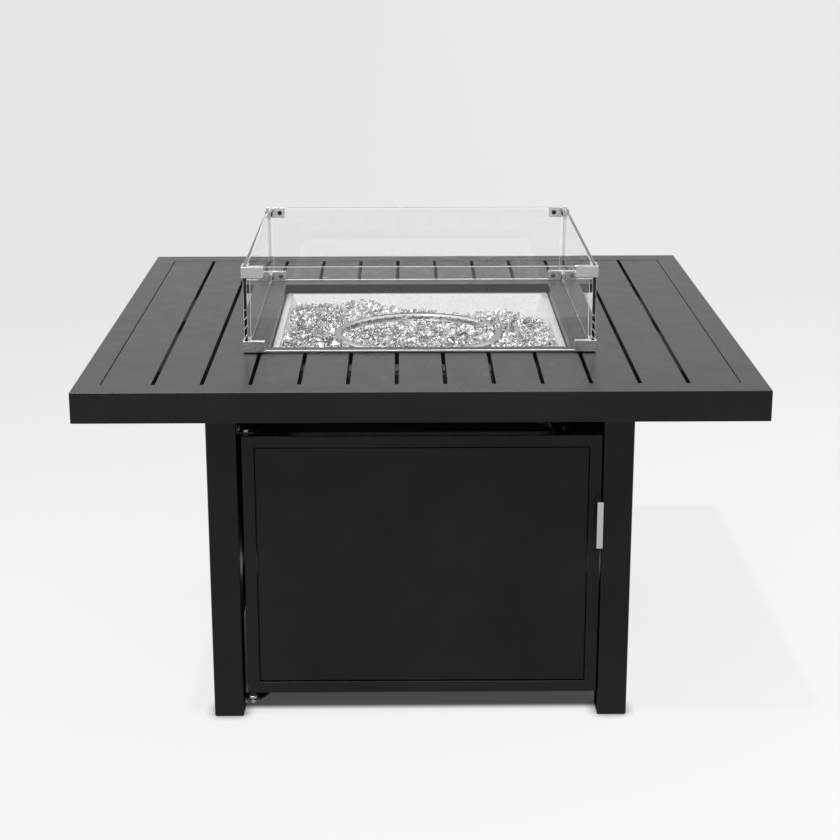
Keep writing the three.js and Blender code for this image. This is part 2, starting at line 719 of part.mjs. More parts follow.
function igniterButton() {
  const at = (y) => [BUTTON_X, y, CONTROL_Z];
  return rod(BUTTON_RADIUS, at(CONTROL_Y - BEZEL_THICK - BUTTON_PROUD), at(CONTROL_Y + BUTTON_DEPTH), 28);
}

// The hose's route from the valve's outlet to the nipple under the pan.
const HOSE_ROUTE = [
  outletAt(NUT_END - 1),
  [226.5, VALVE_Y, 477],
  [221.5, VALVE_Y, 484],
  [213, VALVE_Y, 489.5],
  [194, -258, 497],
  [162, -243, 504],
  [118, -212, 505],
  [74, -162, 502],
  [38, -105, 496],
  [14, -52, 488],
  [3, -18, 484],
  [0, -3, 489],
  [0, 0, 500],
];

// The hose, with a hexagon nut at each end.
function gasFeedHose() {
  const curve = new THREE.CatmullRomCurve3(HOSE_ROUTE.map((point) => new THREE.Vector3(...point)));
  const sides = 10;
  const section = new THREE.Shape();
  for (let side = 0; side < sides; side++) {
    const angle = (side / sides) * Math.PI * 2;
    const point = [HOSE_RADIUS * Math.cos(angle), HOSE_RADIUS * Math.sin(angle)];
    if (side === 0) section.moveTo(...point);
    else section.lineTo(...point);
  }
  const tube = new THREE.ExtrudeGeometry(section, { steps: 48, extrudePath: curve, bevelEnabled: false });
  const valveNut = rod(VALVE_NUT_RADIUS, outletAt(NUT_START), outletAt(NUT_END), 6);
  const burnerNut = rod(BURNER_NUT_RADIUS, [0, 0, BURNER_NUT_BOTTOM], [0, 0, NIPPLE_BOTTOM - GAP], 6);
  return join(tube, valveNut, burnerNut);
}

// ---- Assembly -----------------------------------------------------------------------------------
add("top_frame", topFrame(), blackCoat);
addSlats();
add("opening_collar", openingCollar(), blackCoat);
const supportY = baseHalf - SUPPORT_SIZE / 2;
add("deck_support_front", deckSupport(-supportY), blackCoat);
add("deck_support_rear", deckSupport(supportY), blackCoat);

add("leg_front_left", leg(-1, -1), blackCoat);
add("leg_front_right", leg(1, -1), blackCoat);
add("leg_rear_left", leg(-1, 1), blackCoat);
add("leg_rear_right", leg(1, 1), blackCoat);
add("side_panel_right", sidePanel(Math.PI / 2), blackCoat);
add("side_panel_rear", sidePanel(Math.PI), blackCoat);
add("side_panel_left", sidePanel(-Math.PI / 2), blackCoat);

add("door_frame", doorFrame(), blackCoat);
add("door_panel", doorPanel(), blackCoat);
add("door_handle", doorHandle(), satinSteel);
add("hinge_bracket_lower", hingeBracket(PANEL_BOTTOM, 1, LOWER_SPACER), blackCoat);
add("hinge_bracket_upper", hingeBracket(DOOR_TOP, -1, UPPER_SPACER), blackCoat);
add("magnet_catch", magnetCatch(), blackPlastic);

addWindGuard();

add("burner_pan", burnerPan(), satinSteel);
add("burner_ring", burnerShape(0), polishedSteel);
add("fire_glass", glassBed(), crushedGlass);
add("spark_electrode", sparkElectrode(), ceramic);

add("control_bracket", controlBracket(), blackCoat);
add("gas_valve", gasValve(), brass);
add("valve_stem", valveStem(), zinc);
add("gas_knob", gasKnob(), blackPlastic);
add("igniter_housing", igniterHousing(), blackPlastic);
add("igniter_button", igniterButton(), redPlastic);
add("gas_feed_hose", gasFeedHose(), satinSteel);

export default group;
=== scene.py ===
"""Looks for the square gas fire table: materials, loose glass, screws, lights and camera.

Lengths are in metres, in the same frame as the CAD model: +Z is up and the door faces -Y.
"""

import json
import math

import bmesh
import bpy
import numpy as np
from mathutils import Matrix, Vector

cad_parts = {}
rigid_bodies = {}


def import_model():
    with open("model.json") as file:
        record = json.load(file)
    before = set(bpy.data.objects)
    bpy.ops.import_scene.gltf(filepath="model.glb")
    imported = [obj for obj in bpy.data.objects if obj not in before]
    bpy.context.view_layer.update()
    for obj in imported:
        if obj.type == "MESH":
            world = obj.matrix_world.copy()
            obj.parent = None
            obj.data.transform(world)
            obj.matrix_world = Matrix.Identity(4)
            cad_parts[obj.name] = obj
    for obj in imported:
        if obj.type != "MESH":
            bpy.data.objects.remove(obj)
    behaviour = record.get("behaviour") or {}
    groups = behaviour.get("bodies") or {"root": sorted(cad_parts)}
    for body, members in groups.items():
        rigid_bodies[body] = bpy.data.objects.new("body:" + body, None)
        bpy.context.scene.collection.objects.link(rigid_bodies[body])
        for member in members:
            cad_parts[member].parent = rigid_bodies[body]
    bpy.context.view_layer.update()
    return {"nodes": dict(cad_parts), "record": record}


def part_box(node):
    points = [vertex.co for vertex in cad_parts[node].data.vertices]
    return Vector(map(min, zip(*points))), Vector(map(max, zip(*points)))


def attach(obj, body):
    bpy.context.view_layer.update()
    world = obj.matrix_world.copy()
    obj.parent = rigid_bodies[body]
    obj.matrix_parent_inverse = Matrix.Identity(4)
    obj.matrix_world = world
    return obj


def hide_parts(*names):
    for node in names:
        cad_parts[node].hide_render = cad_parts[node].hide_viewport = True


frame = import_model()
nodes = frame["nodes"]
MM = 0.001

# ---- Camera -------------------------------------------------------------------------------------
FOCAL_LENGTH = 78.76  # mm, on a 36 mm sensor
CAMERA_PLACE = (-0.0267, -3.2164, 1.3559)
CAMERA_PITCH = 16.178  # degrees below the horizon
CAMERA_YAW = -0.525
CAMERA_ROLL = 0.069
CAMERA_REACH = 200


def make_camera():
    data = bpy.data.cameras.new("camera")
    data.lens = FOCAL_LENGTH
    data.sensor_width = 36
    data.clip_end = CAMERA_REACH
    turn = (
        Matrix.Rotation(math.radians(CAMERA_YAW), 3, "Z")
        @ Matrix.Rotation(math.radians(-CAMERA_PITCH), 3, "X")
        @ Matrix.Rotation(math.radians(CAMERA_ROLL), 3, "Y")
    )
    right, forward, up = turn.col
    camera = bpy.data.objects.new("camera", data)
    axes = Matrix((right, up, -forward)).transposed()
    camera.matrix_world = Matrix.Translation(CAMERA_PLACE) @ axes.to_4x4()
    bpy.context.scene.collection.objects.link(camera)
    bpy.context.scene.camera = camera


# ---- Materials ----------------------------------------------------------------------------------
COAT_IOR = 1.36
PLASTIC_IOR = 1.48
PANE_IOR = 1.5
LUMP_IOR = 1.55
# A normal whose largest part is below the first lies on a rounded edge, and above the second on a flat.
EDGE_NORMALS = (0.93, 0.985)
EDGE_CLEARNESS = 0.25  # how clear the ground edges of the panes are


def map_range(tree, socket, start, end, low, high, smooth=True):
    """A node that takes start to end over to low to high."""
    node = tree.nodes.new("ShaderNodeMapRange")
    node.interpolation_type = "SMOOTHSTEP" if smooth else "LINEAR"
    node.inputs["From Min"].default_value = start
    node.inputs["From Max"].default_value = end
    node.inputs["To Min"].default_value = low
    node.inputs["To Max"].default_value = high
    tree.links.new(socket, node.inputs["Value"])
    return node.outputs["Result"]


def combine(tree, operation, one, other=None):
    """A Math node on one or two sockets."""
    node = tree.nodes.new("ShaderNodeMath")
    node.operation = operation
    tree.links.new(one, node.inputs[0])
    if other is not None:
        tree.links.new(other, node.inputs[1])
    return node.outputs["Value"]


def principled(name, **sockets):
    """A material whose shader sockets are set as given, with _ for a space in a socket's name."""
    material = bpy.data.materials.new(name)
    material.use_nodes = True
    shader = material.node_tree.nodes["Principled BSDF"]
    for socket, value in sockets.items():
        shader.inputs[socket.replace("_", " ")].default_value = value
    return material


def noise(tree, scale, detail=2.0, stretch=(1, 1, 1)):
    """A noise field fixed to the object. The scale is in cells per metre."""
    place = tree.nodes.new("ShaderNodeTexCoord")
    mapping = tree.nodes.new("ShaderNodeMapping")
    mapping.inputs["Scale"].default_value = stretch
    texture = tree.nodes.new("ShaderNodeTexNoise")
    texture.inputs["Scale"].default_value = scale
    texture.inputs["Detail"].default_value = detail
    tree.links.new(place.outputs["Object"], mapping.inputs["Vector"])
    tree.links.new(mapping.outputs["Vector"], texture.inputs["Vector"])
    return texture.outputs["Fac"]


def vary_color(material, field, dark, light):
    """The colour goes from dark to light as the field rises."""
    tree = material.node_tree
    ramp = tree.nodes.new("ShaderNodeValToRGB")
    ramp.color_ramp.elements[0].position = 0.35
    ramp.color_ramp.elements[0].color = (*dark, 1)
    ramp.color_ramp.elements[1].position = 0.65
    ramp.color_ramp.elements[1].color = (*light, 1)
    tree.links.new(field, ramp.inputs["Fac"])
    tree.links.new(ramp.outputs["Color"], tree.nodes["Principled BSDF"].inputs["Base Color"])


def vary_roughness(material, field, low, high):
    """The roughness goes from low to high as the field rises."""
    tree = material.node_tree
    spread = map_range(tree, field, 0.3, 0.7, low, high, smooth=False)
    tree.links.new(spread, tree.nodes["Principled BSDF"].inputs["Roughness"])


def add_bump(material, field, depth, strength=1.0):
    """Raises the surface by up to the depth, in metres, where the field is high."""
    tree = material.node_tree
    bump = tree.nodes.new("ShaderNodeBump")
    bump.inputs["Strength"].default_value = strength
    bump.inputs["Distance"].default_value = depth
    tree.links.new(field, bump.inputs["Height"])
    tree.links.new(bump.outputs["Normal"], tree.nodes["Principled BSDF"].inputs["Normal"])


def powder_coat(name, dark, light, roughness):
    """Satin powder coat: the fine orange peel of baked powder over slow changes of sheen."""
    material = principled(name, IOR=COAT_IOR)
    tree = material.node_tree
    vary_color(material, noise(tree, scale=9, detail=4), dark, light)
    vary_roughness(material, noise(tree, scale=26, detail=3), roughness - 0.03, roughness + 0.03)
    add_bump(material, noise(tree, scale=900, detail=2), depth=0.03 * MM, strength=0.5)
    return material


def brushed(name, dark, light, roughness, stretch, metallic=1.0):
    """Brushed steel: fine scratches along the axis that the stretch leaves long."""
    material = principled(name, Metallic=metallic)
    tree = material.node_tree
    scratches = noise(tree, scale=60, detail=6, stretch=stretch)
    vary_color(material, scratches, dark, light)
    vary_roughness(material, scratches, roughness - 0.06, roughness + 0.06)
    add_bump(material, scratches, depth=0.02 * MM, strength=0.35)
    return material


def clear_glass(name, tint, roughness):
    """Clear panes. Their rounded edges, which face along no axis, are ground and cloudy."""
    material = principled(name, Base_Color=(*tint, 1), Transmission_Weight=1.0, IOR=PANE_IOR)
    tree = material.node_tree
    vary_roughness(material, noise(tree, scale=40, detail=2), roughness, roughness + 0.01)
    place = tree.nodes.new("ShaderNodeTexCoord")
    facing = tree.nodes.new("ShaderNodeSeparateXYZ")
    tree.links.new(place.outputs["Normal"], facing.inputs["Vector"])
    largest, *others = [combine(tree, "ABSOLUTE", facing.outputs[axis]) for axis in "XYZ"]
    for other in others:
        largest = combine(tree, "MAXIMUM", largest, other)
    clear = map_range(tree, largest, *EDGE_NORMALS, EDGE_CLEARNESS, 1.0)
    tree.links.new(clear, tree.nodes["Principled BSDF"].inputs["Transmission Weight"])
    return material


def broken_glass(name, dark, light):
    """Glass lumps: some clear and some cloudy, which take turns over a lump's width."""
    material = principled(name, Transmission_Weight=1.0, IOR=LUMP_IOR)
    tree = material.node_tree
    vary_color(material, noise(tree, scale=60, detail=1), dark, light)
    vary_roughness(material, noise(tree, scale=40, detail=2), 0.01, 0.05)
    return material


def moulded(name, dark, light, roughness):
    """Moulded plastic with a fine spark-eroded grain."""
    material = principled(name, IOR=PLASTIC_IOR)
    tree = material.node_tree
    vary_color(material, noise(tree, scale=60, detail=3), dark, light)
    vary_roughness(material, noise(tree, scale=200, detail=2), roughness - 0.05, roughness + 0.05)
    add_bump(material, noise(tree, scale=2200, detail=1), depth=0.02 * MM, strength=0.6)
    return material


def grey(value):
    """A neutral colour."""
    return (value, value, value)


def make_materials():
    """Every slot's material, by the slot's name."""
    return {
        "black_powder_coat": powder_coat(
            "black_powder_coat", (0.0048, 0.0048, 0.005), (0.0066, 0.0066, 0.0069), 0.3
        ),
        "bracket_metal": powder_coat("bracket_metal", grey(0.009), grey(0.013), 0.45),
        "clamp_steel": brushed("clamp_steel", grey(0.75), grey(0.86), 0.26, (1, 1, 30)),
        "handle_steel": brushed("handle_steel", grey(0.93), grey(0.98), 0.3, (30, 30, 1)),
        "zinc_plate": brushed("zinc_plate", (0.44, 0.44, 0.46), (0.58, 0.58, 0.6), 0.34, (6, 6, 6)),
        "pan_steel": brushed("pan_steel", grey(0.57), grey(0.59), 0.3, (4, 40, 40), 0.5),
        "ring_steel": brushed("ring_steel", grey(0.42), grey(0.54), 0.15, (4, 4, 30)),
        "hose_steel": brushed("hose_steel", grey(0.05), grey(0.09), 0.55, (10, 10, 10)),
        "brass": brushed("brass", (0.42, 0.29, 0.11), (0.6, 0.44, 0.19), 0.32, (5, 5, 5)),
        "guard_glass": clear_glass("guard_glass", (0.992, 1.0, 0.996), 0.0),
        "fire_glass": broken_glass("fire_glass", (0.43, 0.46, 0.45), (0.985, 0.995, 0.99)),
        "black_plastic": moulded("black_plastic", grey(0.014), grey(0.02), 0.45),
        "red_plastic": moulded("red_plastic", (0.36, 0.012, 0.012), (0.46, 0.02, 0.018), 0.3),
        "electrode_ceramic": moulded(
            "electrode_ceramic", (0.7, 0.68, 0.62), (0.8, 0.78, 0.73), 0.25
        ),
    }


# ---- CAD nodes ----------------------------------------------------------------------------------
# How far the edges of each kind of node are rounded, by the start of its name, in mm.
EDGE_ROUNDING = {
    "top_frame": 1.6,
    "slat_": 1.2,
    "opening_collar": 1.1,
    "deck_support": 1.5,
    "leg_": 3.4,
    "side_panel": 1.0,
    "door_frame": 1.8,
    "door_panel": 0.6,
    "door_handle": 0.9,
    "hinge_bracket": 0.35,
    "magnet_catch": 1.0,
    "guard_glass": 0.5,
    "clamp_": 0.45,
    "burner_pan": 0.5,
    "burner_ring": 1.4,
    "spark_electrode": 0.5,
    "control_bracket": 0.5,
    "gas_valve": 0.8,
    "valve_stem": 0.4,
    "gas_knob": 1.0,
    "igniter": 0.5,
}


def round_edges(node, radius):
    """Rounds the sharp edges of a CAD node with modifiers, which leave its own mesh alone."""
    node.data.polygons.foreach_set("use_smooth", [True] * len(node.data.polygons))
    weld = node.modifiers.new("weld", "WELD")
    weld.merge_threshold = 0.01 * MM
    flatten = node.modifiers.new("flatten", "DECIMATE")
    flatten.decimate_type = "DISSOLVE"
    flatten.angle_limit = math.radians(0.5)
    bevel = node.modifiers.new("bevel", "BEVEL")
    bevel.width = radius * MM
    bevel.segments = 3
    bevel.limit_method = "ANGLE"
    bevel.use_clamp_overlap = False
    bevel.angle_limit = math.radians(30)
    normals = node.modifiers.new("normals", "WEIGHTED_NORMAL")
    normals.keep_sharp = False


def dress_nodes(finishes):
    """Gives every CAD node its slot's material and its rounded edges."""
    slots = {part["node"]: part["material_slot"] for part in frame["record"]["subparts"]}
    for name, node in nodes.items():
        node.data.materials.clear()
        node.data.materials.append(finishes[slots[name]])
        for start, radius in EDGE_ROUNDING.items():
            if name.startswith(start):
                round_edges(node, radius)
        if name.startswith("guard_glass"):
            # Light passes through the glass, so it throws no shadow.
            node.visible_shadow = False


# ---- Mesh helpers -------------------------------------------------------------------------------
def new_piece(name, mesh, slot, body, finishes):
    """Links a finished mesh as a piece that rides on a body and takes a slot's material."""
    piece = bpy.data.objects.new(name, mesh)
    bpy.context.scene.collection.objects.link(piece)
    mesh.materials.append(finishes[slot])
    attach(piece, body)
    return piece


def frame_along(axis):
    """A rotation whose Z runs along the axis."""
    return Vector(axis).to_track_quat("Z", "Y").to_matrix().to_4x4()


def skin(bm, rings):
    """Joins rings of points, one to the next, and closes both ends."""
    for near, far in zip(rings, rings[1:]):
        for step in range(len(near)):
            after = (step + 1) % len(near)
            bm.faces.new((near[step], near[after], far[after], far[step]))
    bm.faces.new(list(reversed(rings[0])))
    bm.faces.new(rings[-1])


def turned_mesh(profile, segments=32):
    """Closed mesh from a profile of (radius, height, sides) rows, in mm, turned about Z.

    The rows go from the bottom to the top. A row with 6 sides is a hexagon whose flats are the
    radius away; 0 sides is round. The first and last rows are closed by a face.
    """
    bm = bmesh.new()
    rings = []
    for radius, height, sides in profile:
        ring = []
        for step in range(segments):
            angle = 2 * math.pi * step / segments
            reach = radius
            if sides:
                sector = 2 * math.pi / sides
                reach = radius / math.cos((angle % sector) - sector / 2)
            x, y = reach * math.cos(angle), reach * math.sin(angle)
            ring.append(bm.verts.new((x * MM, y * MM, height * MM)))
        rings.append(ring)
    skin(bm, rings)
    mesh = bpy.data.meshes.new("turned")
    bm.to_mesh(mesh)
    bm.free()
    return mesh


def smooth_by_angle(mesh, degrees=35):
    """Smooth faces, with edges sharper than the angle kept sharp."""
    mesh.polygons.foreach_set("use_smooth", [True] * len(mesh.polygons))
    mesh.set_sharp_from_angle(angle=math.radians(degrees))


# ---- Screws -------------------------------------------------------------------------------------
def button_screw(radius, height, socket):
    """The head of a button screw with a hexagon socket, its underside at the origin, in mm."""
    rim = 0.35 * height
    profile = [
        (radius * 0.97, 0, 0),
        (radius, rim * 0.4, 0),
        (radius, rim, 0),
        (radius * 0.94, height * 0.6, 0),
        (radius * 0.8, height * 0.85, 0),
        (radius * 0.6, height, 0),
        (socket * 1.12, height, 6),
        (socket, height - 0.15, 6),
        (socket, height * 0.25, 6),
    ]
    mesh = turned_mesh(profile, 36)
    smooth_by_angle(mesh)
    return mesh


def place_screw(name, head, place, axis, slot, body, finishes):
    """One screw head at a place, its top along the axis."""
    mesh = head.copy()
    mesh.transform(Matrix.Translation(Vector(place)) @ frame_along(axis))
    new_piece(name, mesh, slot, body, finishes)


# Each button screw's radius, height and socket radius, in mm.
CLAMP_SCREW = (4.3, 2.4, 1.5)
BRACKET_SCREW = (3.9, 2.4, 1.25)
CLAMP_SCREW_FROM_END = 9  # mm from the end of the clamp's arm
# Outer plate, gap, glass, gap and inner plate, from the outside of a clamp to its inside, in mm.
CLAMP_INSIDE = 2.3 + 0.3 + 6 + 0.3 + 2.3


def add_clamp_screws(finishes):
    """Two button screws on the inner plates of each clamp, which grip the glass."""
    head = button_screw(*CLAMP_SCREW)
    for level in ("lower", "upper"):
        for depth, side_y in (("front", -1), ("rear", 1)):
            for across, side_x in (("left", -1), ("right", 1)):
                clamp = f"clamp_{level}_{depth}_{across}"
                low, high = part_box(clamp)
                middle = (low.z + high.z) / 2
                arm = min(abs(low.x), abs(high.x)) + CLAMP_SCREW_FROM_END * MM
                inside = max(abs(low.x), abs(high.x)) - CLAMP_INSIDE * MM
                for number, (x, y, axis) in enumerate(
                    ((arm, inside, (0, -side_y, 0)), (inside, arm, (-side_x, 0, 0)))
                ):
                    place = (side_x * x, side_y * y, middle)
                    name = f"screw_{clamp}_{number + 1}"
                    place_screw(name, head, place, axis, "bracket_metal", "wind_guard", finishes)


PIVOT = (-284, -344)  # the door turns about this upright line, in mm
UPPER_PLATE_TOP = 504.3  # mm, the outer faces of the two hinge brackets' plates
LOWER_PLATE_BOTTOM = 30.2
WASHERS_BOTTOM = 33.3  # they lie on the lower plate, round its spacer
BOLT_SEGMENTS = 36
BOLT_HEAD_PROFILE = ((5.0, 0, 6), (5.3, 0.5, 6), (5.3, 3.4, 6), (4.7, 4.2, 0), (3.0, 4.3, 0))
# The nut, with the end of the bolt's thread standing out of it.
BOLT_NUT_PROFILE = (
    (5.0, 0, 6),
    (5.2, 0.5, 6),
    (5.2, 3.4, 6),
    (4.6, 4.0, 0),
    (2.8, 4.1, 0),
    (2.8, 6.6, 0),
    (2.4, 7, 0),
)
WASHERS_PROFILE = ((7.2, 0, 0), (7.5, 0.3, 0), (7.5, 4.2, 0), (7.2, 4.5, 0))


def add_hinge_bolts(finishes):
    """The pivot bolts of the door: a head on the upper bracket, a nut and washers on the lower."""
    for name, profile, height, axis in (
        ("hinge_bolt_head", BOLT_HEAD_PROFILE, UPPER_PLATE_TOP, (0, 0, 1)),
        ("hinge_bolt_nut", BOLT_NUT_PROFILE, LOWER_PLATE_BOTTOM, (0, 0, -1)),
        ("hinge_washers", WASHERS_PROFILE, WASHERS_BOTTOM, (0, 0, 1)),
    ):
        mesh = turned_mesh(profile, BOLT_SEGMENTS)
        smooth_by_angle(mesh)
        place = Vector((*PIVOT, height)) * MM
        mesh.transform(Matrix.Translation(place) @ frame_along(axis))
        new_piece(name, mesh, "zinc_plate", "base", finishes)


HINGE_FLANGE = 3  # mm, thickness of the hinge bracket's flange on the leg
HINGE_SCREW_FROM_END = 9  # mm, up or down from the bracket's outer end
HINGE_SCREW_DEPTHS = (7, 17)  # mm behind the bracket's front
CONTROL_FLANGE = 2  # mm, thickness of the control bracket's flange
CONTROL_SCREW_FROM_END = 12  # mm, from its top and from its bottom
CONTROL_SCREW_FROM_BACK = 8


def add_bracket_screws(finishes):
    """Screws that hold the hinge brackets to the leg and the control bracket to the side panel."""
    head = button_screw(*BRACKET_SCREW)
    for bracket in ("hinge_bracket_lower", "hinge_bracket_upper"):
        low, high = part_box(bracket)
        flange_face = low.x + HINGE_FLANGE * MM
        from_end = HINGE_SCREW_FROM_END * MM
        height = low.z + from_end if bracket.endswith("lower") else high.z - from_end
        for number, depth in enumerate(HINGE_SCREW_DEPTHS):
            place = (flange_face, low.y + depth * MM, height)
            name = f"screw_{bracket}_{number + 1}"
            place_screw(name, head, place, (1, 0, 0), "zinc_plate", "base", finishes)
    low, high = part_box("control_bracket")
    from_end = CONTROL_SCREW_FROM_END * MM
    for number, height in enumerate((low.z + from_end, high.z - from_end)):
        place = (high.x - CONTROL_FLANGE * MM, high.y - CONTROL_SCREW_FROM_BACK * MM, height)
        name = f"screw_control_bracket_{number + 1}"
        place_screw(name, head, place, (-1, 0, 0), "zinc_plate", "base", finishes)


# ---- Fire glass ---------------------------------------------------------------------------------
PAN_MOUTH_HALF = 238  # mm, inside of the pan at its rim
PAN_RIM = 605.3  # mm above the ground
PAN_SLOPE = 0.404  # how far the walls lean in for each mm down
RING_INNER = 135.4  # radii of the burner ring
RING_OUTER = 152.4
RING_TOP = 590
BED_LEVEL = 583  # the usual top of the glass, in mm
# Where the bed rises above or falls below that: x, y, change, spread, all in mm.
BED_HEAPS = (
    (-195, 205, 5, 50),
    (-100, 215, 14, 26),
    (85, 215, -10, 42),
    (222, 205, -17, 28),
    (228, 40, 14, 50),
    (230, -100, 20, 70),
    (-234, 60, 22, 100),
    (-234, -150, 20, 80),
    (0, 0, 1, 60),
    (-111, 40, -9, 24),
    (-84, 84, -9, 26),
    (-44, 110, -6, 22),
    (72, 94, -10, 26),
)
CHUNK_SPACING = 11.0  # mm between neighbours of one layer
CHUNK_JITTER = 4.0
CHUNK_LIFT = 2.5  # how far a chunk may lie above or below its neighbours
CHUNK_SINK = 0.6  # of its size that a chunk's centre lies under the top of the bed
CHUNK_RADIUS = (6.0, 12.0)
CHUNK_LAYERS = 2
LAYER_STEP = 8.0
CHUNK_SHAPES = 32
CHUNK_SEED = 12
CHUNK_CORNERS = (8, 12)  # at least 8, and fewer than 12
CORNER_REACH = (0.75, 1.0)  # of a corner from the middle
CHUNK_FLATNESS = (0.6, 1.0)  # the share of its size along each axis
WALL_MARGIN = 0.3  # of a chunk's size kept clear of the pan's wall
RING_MARGIN = 0.8  # and of the ring
# Arcs of the ring that loose chunks cover: start and end in degrees from +X, and how many.
COVERED_ARCS = ((2, 32, 34), (99, 104, 3))
LOOSE_RADIUS = (5.0, 8.0)
LOOSE_SPREAD = 8  # mm past the ring's edges
LOOSE_HEIGHT = (-4, 2)  # mm from the ring's top


def bed_height(x, y):
    """The top of the bed at a place, all in mm."""
    height = BED_LEVEL
    for heap_x, heap_y, change, spread in BED_HEAPS:
        gap = (x - heap_x) ** 2 + (y - heap_y) ** 2
        height += change * math.exp(-gap / (2 * spread**2))
    return height


def chunk_shape(random):
    """A broken piece of glass about 1 across: the hull of a few points, in flat facets."""
    count = int(random.integers(*CHUNK_CORNERS))
    points = random.normal(size=(count, 3))
    points /= np.linalg.norm(points, axis=1)[:, None]
    points *= random.uniform(*CORNER_REACH, size=(count, 1))
    points *= random.uniform(*CHUNK_FLATNESS, size=3)
    bm = bmesh.new()
    for point in points:
        bm.verts.new(point)
    result = bmesh.ops.convex_hull(bm, input=bm.verts)
    bmesh.ops.delete(bm, geom=result["geom_unused"], context="VERTS")
    bmesh.ops.triangulate(bm, faces=bm.faces)
    bm.verts.ensure_lookup_table()
    corners = np.array([v.co for v in bm.verts])
    faces = np.array([[v.index for v in face.verts] for face in bm.faces])
    bm.free()
    return corners, faces


def chunk_places(random):
    """Centres and sizes of the chunks: layers in the pan, then the ones on top of the ring."""
    places = []
    steps = int(PAN_MOUTH_HALF // CHUNK_SPACING)
    for layer in range(CHUNK_LAYERS):
        for row in range(-steps, steps + 1):
            for column in range(-steps, steps + 1):
                shift = random.uniform(-CHUNK_JITTER, CHUNK_JITTER, size=2)
                x, y = np.array((column, row)) * CHUNK_SPACING + shift
                size = random.uniform(*CHUNK_RADIUS)
                top = bed_height(x, y) - layer * LAYER_STEP
                z = top - size * CHUNK_SINK + random.uniform(-CHUNK_LIFT, CHUNK_LIFT)
                wall = PAN_MOUTH_HALF - (PAN_RIM - z) * PAN_SLOPE
                from_centre = math.hypot(x, y)
                clear = size * RING_MARGIN
                on_ring = RING_INNER - clear < from_centre < RING_OUTER + clear
                if max(abs(x), abs(y)) < wall - size * WALL_MARGIN and not on_ring:
                    places.append((x, y, z, size))
    for start, end, count in COVERED_ARCS:
        for _ in range(count):
            angle = math.radians(random.uniform(start, end))
            radius = random.uniform(RING_INNER - LOOSE_SPREAD, RING_OUTER + LOOSE_SPREAD)
            size = random.uniform(*LOOSE_RADIUS)
            z = RING_TOP + random.uniform(*LOOSE_HEIGHT)
            places.append((radius * math.cos(angle), radius * math.sin(angle), z, size))
    return places


def random_turn(random):
    """A random rotation as a 3 by 3 array."""
    turn, _ = np.linalg.qr(random.normal(size=(3, 3)))
    if np.linalg.det(turn) < 0:
        turn[:, 0] *= -1
    return turn


def add_fire_glass(finishes):
    """Thousands of broken pieces of clear glass in one mesh, in place of the plain CAD bed."""
    random = np.random.default_rng(CHUNK_SEED)
    shapes = [chunk_shape(random) for _ in range(CHUNK_SHAPES)]
    all_corners, all_faces, used = [], [], 0
    for x, y, z, size in chunk_places(random):
        corners, faces = shapes[int(random.integers(CHUNK_SHAPES))]
        placed = corners @ random_turn(random) * size + (x, y, z)
        all_corners.append(placed * MM)
        all_faces.append(faces + used)
        used += len(corners)
    mesh = bpy.data.meshes.new("fire_glass_pieces")
    mesh.from_pydata(np.concatenate(all_corners), [], np.concatenate(all_faces))
    piece = new_piece("fire_glass_pieces", mesh, "fire_glass", "base", finishes)
    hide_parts("fire_glass")
    piece.visible_shadow = False


# ---- Ring ports, painted as dark discs ----------------------------------------------------------
PORT_COUNT = 48
PORT_RADIUS = 1.5  # mm, as the rest
PORT_HEIGHT = 586
PORT_DEPTH = 0.7


def add_port_shade_discs(finishes):
    """Black discs along the inner side of the burner ring: painted shade that stands for the dark
    inside of its gas ports.
    """
    bm = bmesh.new()
    for number in range(PORT_COUNT):
        angle = 2 * math.pi * (number + 0.5) / PORT_COUNT
        outwards = Vector((math.cos(angle), math.sin(angle), 0))
        place = outwards * RING_INNER + Vector((0, 0, PORT_HEIGHT))
        matrix = Matrix.Translation(place * MM) @ frame_along(outwards)
        bmesh.ops.create_cone(
            bm,
            cap_ends=True,
            segments=12,
            radius1=PORT_RADIUS * MM,
            radius2=PORT_RADIUS * MM,
            depth=PORT_DEPTH * MM,
            matrix=matrix,
        )
    mesh = bpy.data.meshes.new("ring_ports")
    bm.to_mesh(mesh)
    bm.free()
    # The discs take the black coat, as painted shade inside the port holes.
    new_piece("ring_ports", mesh, "bracket_metal", "base", finishes)


# ---- Gas feed hose ------------------------------------------------------------------------------
# The hose's route from the valve's elbow to the nipple under the pan, as in the CAD model.
HOSE_ROUTE = (
    (227.5, -262, 469.9),
    (226.5, -262, 477),
    (221.5, -262, 484),
    (213, -262, 489.5),
    (194, -258, 497),
    (162, -243, 504),
    (118, -212, 505),
    (74, -162, 502),
    (38, -105, 496),
    (14, -52, 488),
    (3, -18, 484),
    (0, -3, 489),
    (0, 0, 500),
)
HOSE_RADIUS = 7
HOSE_PITCH = 4.2  # mm from one corrugation to the next
HOSE_DEPTH = 0.9  # of each corrugation
HOSE_SIDES = 20
RINGS_PER_PITCH = 6
CURVE_SAMPLES = 24  # between two points of the route
NUT_CHAMFER = 1.2
# Where each nut starts, the way it runs, half its width across flats and its length, in mm.
VALVE_NUT = ((228.7, -262, 462.3), (-0.15, 0, 1), 7.4, 8.6)
BURNER_NUT = ((0, 0, 513.7), (0, 0, -1), 11, 17.5)


def catmull_rom(points, samples):
    """Points on one smooth curve through the given ones."""
    padded = [2 * points[0] - points[1], *points, 2 * points[-1] - points[-2]]
    curve = []
    for a, b, c, d in zip(padded, padded[1:], padded[2:], padded[3:]):
        for step in range(samples):
            t = step / samples
            curve.append(
                0.5
                * (
                    2 * b
                    + (c - a) * t
                    + (2 * a - 5 * b + 4 * c - d) * t * t
                    + (3 * b - a - 3 * c + d) * t**3
                )
            )
    curve.append(points[-1])
    return curve


